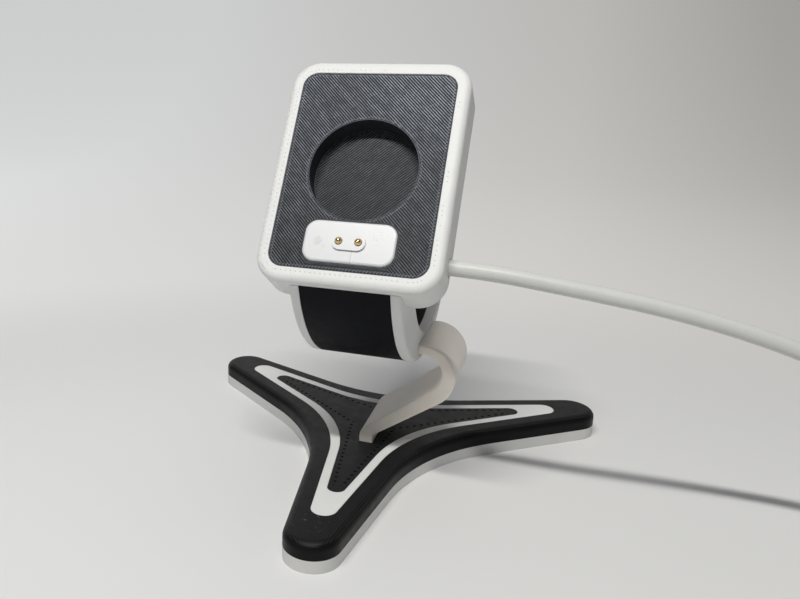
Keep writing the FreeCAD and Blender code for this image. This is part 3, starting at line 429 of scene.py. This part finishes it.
# Moulded puck: a rub mark, specks and a hairline as in the photograph, dark rings
def moulded_plastic():
    n = Nodes("moulded_white")
    spot = n.place(True)
    x, y, z = n.split(spot)
    haze = n.noise(spot, 240.0, 3.0)
    smudge = n.range(haze, 0.62, 0.75, 0, 1, True) * 0.04
    n.set("Base Color", n.colour(smudge, (0.665, 0.67, 0.68), (0.60, 0.60, 0.605)))
    from_rub = n.measure("DISTANCE", spot, (-0.0064, -0.0166, 0))
    rub = n.range(from_rub, 0.0, 0.0015, 1.0, 0.0, True)
    rub = rub * n.range(n.noise(spot, 1100.0, 4.0, 0.7), 0.38, 0.72, 0, 1)
    n.paint(rub, (0.40, 0.40, 0.40))
    from_specks = n.measure("DISTANCE", spot, (0.0056, -0.0150, 0))
    specks = n.range(from_specks, 0.0004, 0.0024, 0.7, 0.0, True)
    n.paint(specks * (n.noise(spot, 3100.0, 1.0) > 0.665), (0.30, 0.30, 0.31))
    hairline = x.near(0.0009, 0.00006) * y.near(-0.0196, 0.0012)
    n.paint(hairline, (0.45, 0.45, 0.45))
    from_pin = hypotenuse(abs(x) - PIN_ASIDE, y + PUCK_DOWN)
    n.paint(n.range(from_pin, 0.0006, 0.00095, 0.9, 0.0, True), (0.16, 0.12, 0.09))
    n.set("Roughness", n.range(haze, 0.3, 0.7, 0.27, 0.33))
    n.set("Subsurface Weight", 0.1)
    n.set("Subsurface Radius", (0.8, 0.8, 0.8))
    n.set("Subsurface Scale", 0.001)
    n.bump(haze, 0.00001, 0.3)
    return n


def metal(name, colour, rough):
    n = Nodes(name)
    wear = n.noise(n.place(), 900.0, 3.0)
    n.set("Base Color", n.colour(wear, tuple(c * 0.93 for c in colour), colour))
    n.set("Metallic", 1.0)
    n.set("Roughness", n.range(wear, 0.3, 0.7, rough * 0.92, rough * 1.12))
    n.bump(wear, 0.0000015, 0.3)
    return n


def circuit_board():
    n = Nodes("circuit_board")
    tone = n.noise(n.place(True), 700.0)
    n.set("Base Color", n.colour(tone, (0.01, 0.09, 0.03), (0.03, 0.20, 0.08)))
    n.set("Roughness", 0.35)
    return n


def cable_jacket():
    n = Nodes("cable_jacket")
    spot = n.place()
    haze = n.noise(spot, 300.0, 3.0)
    fine = n.noise(spot, 3000.0, 2.0)
    n.set("Base Color", n.colour(haze, (0.58, 0.585, 0.56), (0.63, 0.635, 0.61)))
    n.set("Roughness", n.range(fine, 0.3, 0.7, 0.36, 0.5))
    n.bump(fine, 0.00001, 0.5)
    return n


def woven_tie():
    n = Nodes("woven_tie")
    x, y, z = n.split(n.place())
    weave = n.ridge(x, 0.0006) * n.ridge(y + z, 0.0006)
    n.set("Base Color", n.colour(weave, (0.01, 0.01, 0.01), (0.05, 0.05, 0.05)))
    n.set("Roughness", 0.85)
    n.set("Sheen Weight", 0.4)
    n.bump(weave, 0.0001, 0.8)
    return n


base_white = white_print("printed_white")
# the foot plate is a darker copy of the white print: painted shade
shaded_foot_white = white_print("printed_white_foot_shaded", (0.66, 0.66, 0.645))
# the neck's warm tint is its own colour; its raised brightness is painted light on a part in
# the head's shade
neck_white = white_print("printed_white_neck", (0.88, 0.825, 0.75), rough=0.42, glow=0.35,
                         glow_depth=0.003, rounding=0.0006)
head_white = white_print("printed_white_head", face=True)
# the insert's crowns are light bluish grey on black plastic, a painted sheen, and its
# grooves almost black, a painted shade
insert_black = black_print("printed_black_insert", True, insert_paths, power=2.2,
                           colour=(0.37, 0.405, 0.465), rough=0.50, depth=0.00008,
                           groove=0.01, shine=0.16)
strip_black = black_print("printed_black_strip", True, strip_paths, power=0.8,
                          colour=(0.006, 0.0065, 0.010), rough=0.5, depth=0.00001,
                          groove=0.5, shine=0.10)
moulded = moulded_plastic()
gold = metal("gold_plate", (0.78, 0.55, 0.27), 0.18)
steel = metal("nickel_plate", (0.66, 0.66, 0.67), 0.25)
jacket = cable_jacket()

LOOKS = {
    "base_foot_plate": shaded_foot_white, "base_inlay_ring": base_white, "neck": neck_white,
    "strap_loop": loop_print(), "case_shell": case_print(), "case_back_cover": head_white,
    "base_top_plate": base_print(), "strap_inlay": strip_black, "face_insert": insert_black,
    "charger_front_shell": moulded, "charger_back_shell": moulded,
    "usb_plug_body": moulded, "usb_plug_tongue": moulded, "usb_plug_shell": steel,
    "cable_relief": jacket, "contact_board": circuit_board(), "cable_tie": woven_tie(),
}
for side in ("left", "right"):
    LOOKS["pogo_barrel_" + side] = gold
    LOOKS["pogo_pin_" + side] = gold
    LOOKS["pogo_spring_" + side] = steel
    LOOKS["magnet_" + side] = steel
for k in range(4):
    LOOKS["usb_contact_%d" % (k + 1)] = gold
for node, look in LOOKS.items():
    for slot in bpy.data.objects[node].material_slots:
        slot.material = look.material

# Cable, in millimetres: the route's points, the coil's turns, then the plug's sleeve
ROUTE = [
    (13.2, -26.717, 55.031), (25.2, -26.717, 55.031), (43.0, -25.0, 52.6),
    (61.0, -22.4, 49.6), (79.0, -19.6, 44.9), (95.0, -17.2, 38.6), (107.0, -15.6, 27.0),
    (116.0, -15.2, 12.5), (125.5, -16.4, 4.0), (138.0, -16.7, 2.7), (145.5, -16.75, 2.7),
]
SLEEVE = [(157.0, -16.7, 6.1), (160.0, -16.7, 5.4), (163.0, -16.7, 4.3), (166.0, -16.7, 3.8)]
COIL = Vector((152.0, 3.0, 4.4))
COIL_RADIUS = 18.0
COIL_TURNS = 3
STEPS = 18
# the turns lie round a middle line, each a quarter of the way round it from the last
BUNDLE = 2.404
# the curve runs a little inside its points
OUTWARD = 1.012


def coil_point(around):
    # around counts whole turns; a turn keeps its place, then eases over to the next's
    slot = math.floor(around + 1e-9)
    ease = min(max(((around - slot) * 360 - 120) / 210, 0), 1)
    ease = ease * ease * (3 - 2 * ease)
    cross = math.radians(-45 - 90 * (slot + ease))
    radius = (COIL_RADIUS + BUNDLE * math.cos(cross)) * OUTWARD
    angle = math.radians(-90 + 360 * around)
    return COIL + Vector((radius * math.cos(angle), radius * math.sin(angle),
                          BUNDLE * math.sin(cross)))


points = [Vector(spot) for spot in ROUTE]
points += [coil_point(k / STEPS) for k in range(COIL_TURNS * STEPS + 1)]
points += [Vector(spot) for spot in SLEEVE]
curve = bpy.data.curves.new("charging_lead", "CURVE")
curve.dimensions = "3D"
spline = curve.splines.new("NURBS")
spline.points.add(len(points) - 1)
for control, point in zip(spline.points, points):
    control.co = (*(point / 1000), 1)
spline.order_u = 3
spline.use_endpoint_u = True
spline.resolution_u = 8
curve.bevel_depth = 0.00165
curve.bevel_resolution = 6
curve.use_fill_caps = True
lead = bpy.data.objects.new("charging_lead", curve)
scene.collection.objects.link(lead)
curve.materials.append(jacket.material)
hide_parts("charging_cable", "cable_coil")
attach(lead, "dock")

# Floor that sweeps up into a backdrop
BEND_START, BEND_RADIUS, BEND_STEPS = 0.42, 0.35, 12
profile = [(-1.2, 0.0), (BEND_START, 0.0)]
for k in range(1, BEND_STEPS + 1):
    a = math.radians(90 * k / BEND_STEPS)
    profile.append((BEND_START + BEND_RADIUS * math.sin(a),
                    BEND_RADIUS - BEND_RADIUS * math.cos(a)))
profile.append((BEND_START + BEND_RADIUS, 1.6))
verts = [(x, y, z) for y, z in profile for x in (-1.8, 1.8)]
faces = [(k, k + 1, k + 3, k + 2) for k in range(0, len(verts) - 2, 2)]
mesh = bpy.data.meshes.new("backdrop")
mesh.from_pydata(verts, [], faces)
for polygon in mesh.polygons:
    polygon.use_smooth = True
backdrop = bpy.data.objects.new("backdrop", mesh)
scene.collection.objects.link(backdrop)


def paper():
    # matt paper near the dock; seen farther off, it has the photograph's pale tones
    n = Nodes("paper")
    spot = n.place()
    x, y, z = n.split(spot)
    # the paper's colour is darker to the right: painted shade
    n.set("Base Color", n.colour(n.range(x, -0.1, 0.08, 0.0, 1.0, True),
                                 (0.765, 0.77, 0.77), (0.70, 0.70, 0.69)))
    n.set("Roughness", 0.75)
    n.set("Specular IOR Level", 0.2)
    n.bump(n.noise(spot, 60.0), 0.0002, 0.05)
    # seen farther off, the paper glows: painted light, darker to the right and towards the
    # back, and warmer to the right
    painted_glow = n.put("ShaderNodeEmission")
    n.feed(painted_glow.inputs["Color"], n.colour(n.range(x, -0.3, 0.2, 0.0, 1.0),
                                          (1.0, 1.01, 1.005), (1.0, 0.975, 0.93)))
    to_back = y.most(0.0) * -0.27 + 0.68
    to_right = x.most(-0.35).least(0.3) * -0.33
    far_right = ((x - 0.03).most(0.0) * 0.45).least(0.07)
    n.feed(painted_glow.inputs["Strength"], to_right + to_back - far_right)
    path = n.put("ShaderNodeLightPath").outputs
    camera_ray, glossy_ray, through_ray = (Value(n, path[name]) for name in (
        "Is Camera Ray", "Is Glossy Ray", "Is Transmission Ray"))
    seen = camera_ray.most(glossy_ray.most(through_ray))
    aside = (-0.06 - x).most(0.0) * 0.7
    away = n.range(y + aside, 0.04, 0.17, 0.0, 1.0, True)
    afar = n.range(n.measure("DISTANCE", spot, (0, 0, 0)), 0.5, 1.1, 0.0, 1.0, True)
    both = n.put("ShaderNodeMixShader")
    n.feed(both.inputs[0], seen * away.most(afar))
    n.feed(both.inputs[1], n.shader.outputs[0])
    n.feed(both.inputs[2], painted_glow.outputs[0])
    n.feed(n.tree.nodes["Material Output"].inputs[0], both.outputs[0])
    return n


mesh.materials.append(paper().material)

# Pale surroundings, brighter where the camera sees them
SURROUNDINGS, SEEN_BRIGHTER = 0.15, 0.45
world = bpy.data.worlds.new("world")
scene.world = world
world.use_nodes = True
sky = world.node_tree.nodes["Background"]
sky.inputs[0].default_value = (0.93, 0.95, 1.0, 1)
watch = world.node_tree.nodes.new("ShaderNodeLightPath")
lift = world.node_tree.nodes.new("ShaderNodeMath")
lift.operation = "MULTIPLY_ADD"
world.node_tree.links.new(watch.outputs["Is Camera Ray"], lift.inputs[0])
lift.inputs[1].default_value = SEEN_BRIGHTER
lift.inputs[2].default_value = SURROUNDINGS
world.node_tree.links.new(lift.outputs[0], sky.inputs[1])


# Lamps: a long narrow one in front and above, a wide one overhead
def lamp(name, place, size, power, colour):
    light = bpy.data.lights.new(name, "AREA")
    light.shape = "RECTANGLE"
    light.size, light.size_y = size
    light.energy = power
    light.color = colour
    holder = bpy.data.objects.new(name, light)
    scene.collection.objects.link(holder)
    holder.location = place
    aim = Vector((0, 0, 0.03)) - Vector(place)
    holder.rotation_euler = aim.to_track_quat("-Z", "Y").to_euler()


lamp("key", (-0.02, -0.36, 0.66), (0.42, 0.03), 4.3, (1.0, 0.985, 0.96))
lamp("overhead", (0.05, 0.15, 0.95), (0.8, 0.8), 1.0, (0.97, 0.98, 1.0))
